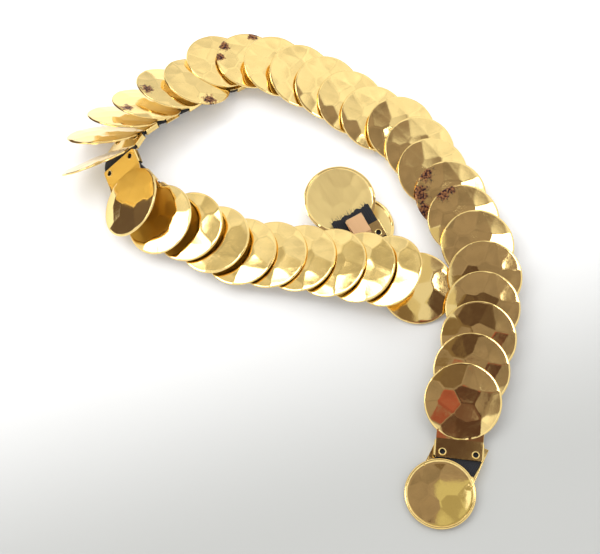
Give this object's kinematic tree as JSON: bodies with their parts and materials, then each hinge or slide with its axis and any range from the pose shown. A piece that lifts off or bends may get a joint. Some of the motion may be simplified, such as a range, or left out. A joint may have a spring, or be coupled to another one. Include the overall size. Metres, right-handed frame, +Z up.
{
  "type": "coin belt",
  "caption": "Stretch belt of overlapping hammered discs crimped along a flat elastic band, with a tray buckle at one end and a hook at the other, lying open on a table.",
  "frame": {"origin": "middle of the belt's box, on the table that it lies on", "axes": "+Z up from the table; +Y away from the viewer, along the belt's longest side; +X to the viewer's right"},
  "size_m": [0.2389, 0.284, 0.0348],
  "materials": {
    "brass": "polished, hammered",
    "elastic": "woven, matt"
  },
  "bodies": {
    "root": {"disc_01": "brass", "disc_02": "brass", "disc_03": "brass", "disc_04": "brass", "disc_05": "brass", "disc_06": "brass", "disc_07": "brass", "disc_08": "brass", "disc_09": "brass", "disc_10": "brass", "disc_11": "brass", "disc_12": "brass", "disc_13": "brass", "disc_14": "brass", "disc_15": "brass", "disc_16": "brass", "disc_17": "brass", "disc_18": "brass", "disc_19": "brass", "disc_20": "brass", "disc_21": "brass", "disc_22": "brass", "disc_23": "brass", "disc_24": "brass", "disc_25": "brass", "disc_26": "brass", "disc_27": "brass", "disc_28": "brass", "disc_29": "brass", "disc_30": "brass", "disc_31": "brass", "disc_32": "brass", "disc_33": "brass", "disc_34": "brass", "disc_35": "brass", "disc_36": "brass", "hook_disc": "brass", "hook": "brass", "buckle_disc": "brass", "band_right_run": "elastic", "band_right_bend": "elastic", "band_top_run": "elastic", "band_left_bend_a": "elastic", "band_left_bend_b": "elastic", "band_front_run": "elastic", "band_front_end": "elastic", "band_fold": "elastic", "band_tail": "elastic"}
  },
  "joints": []
}
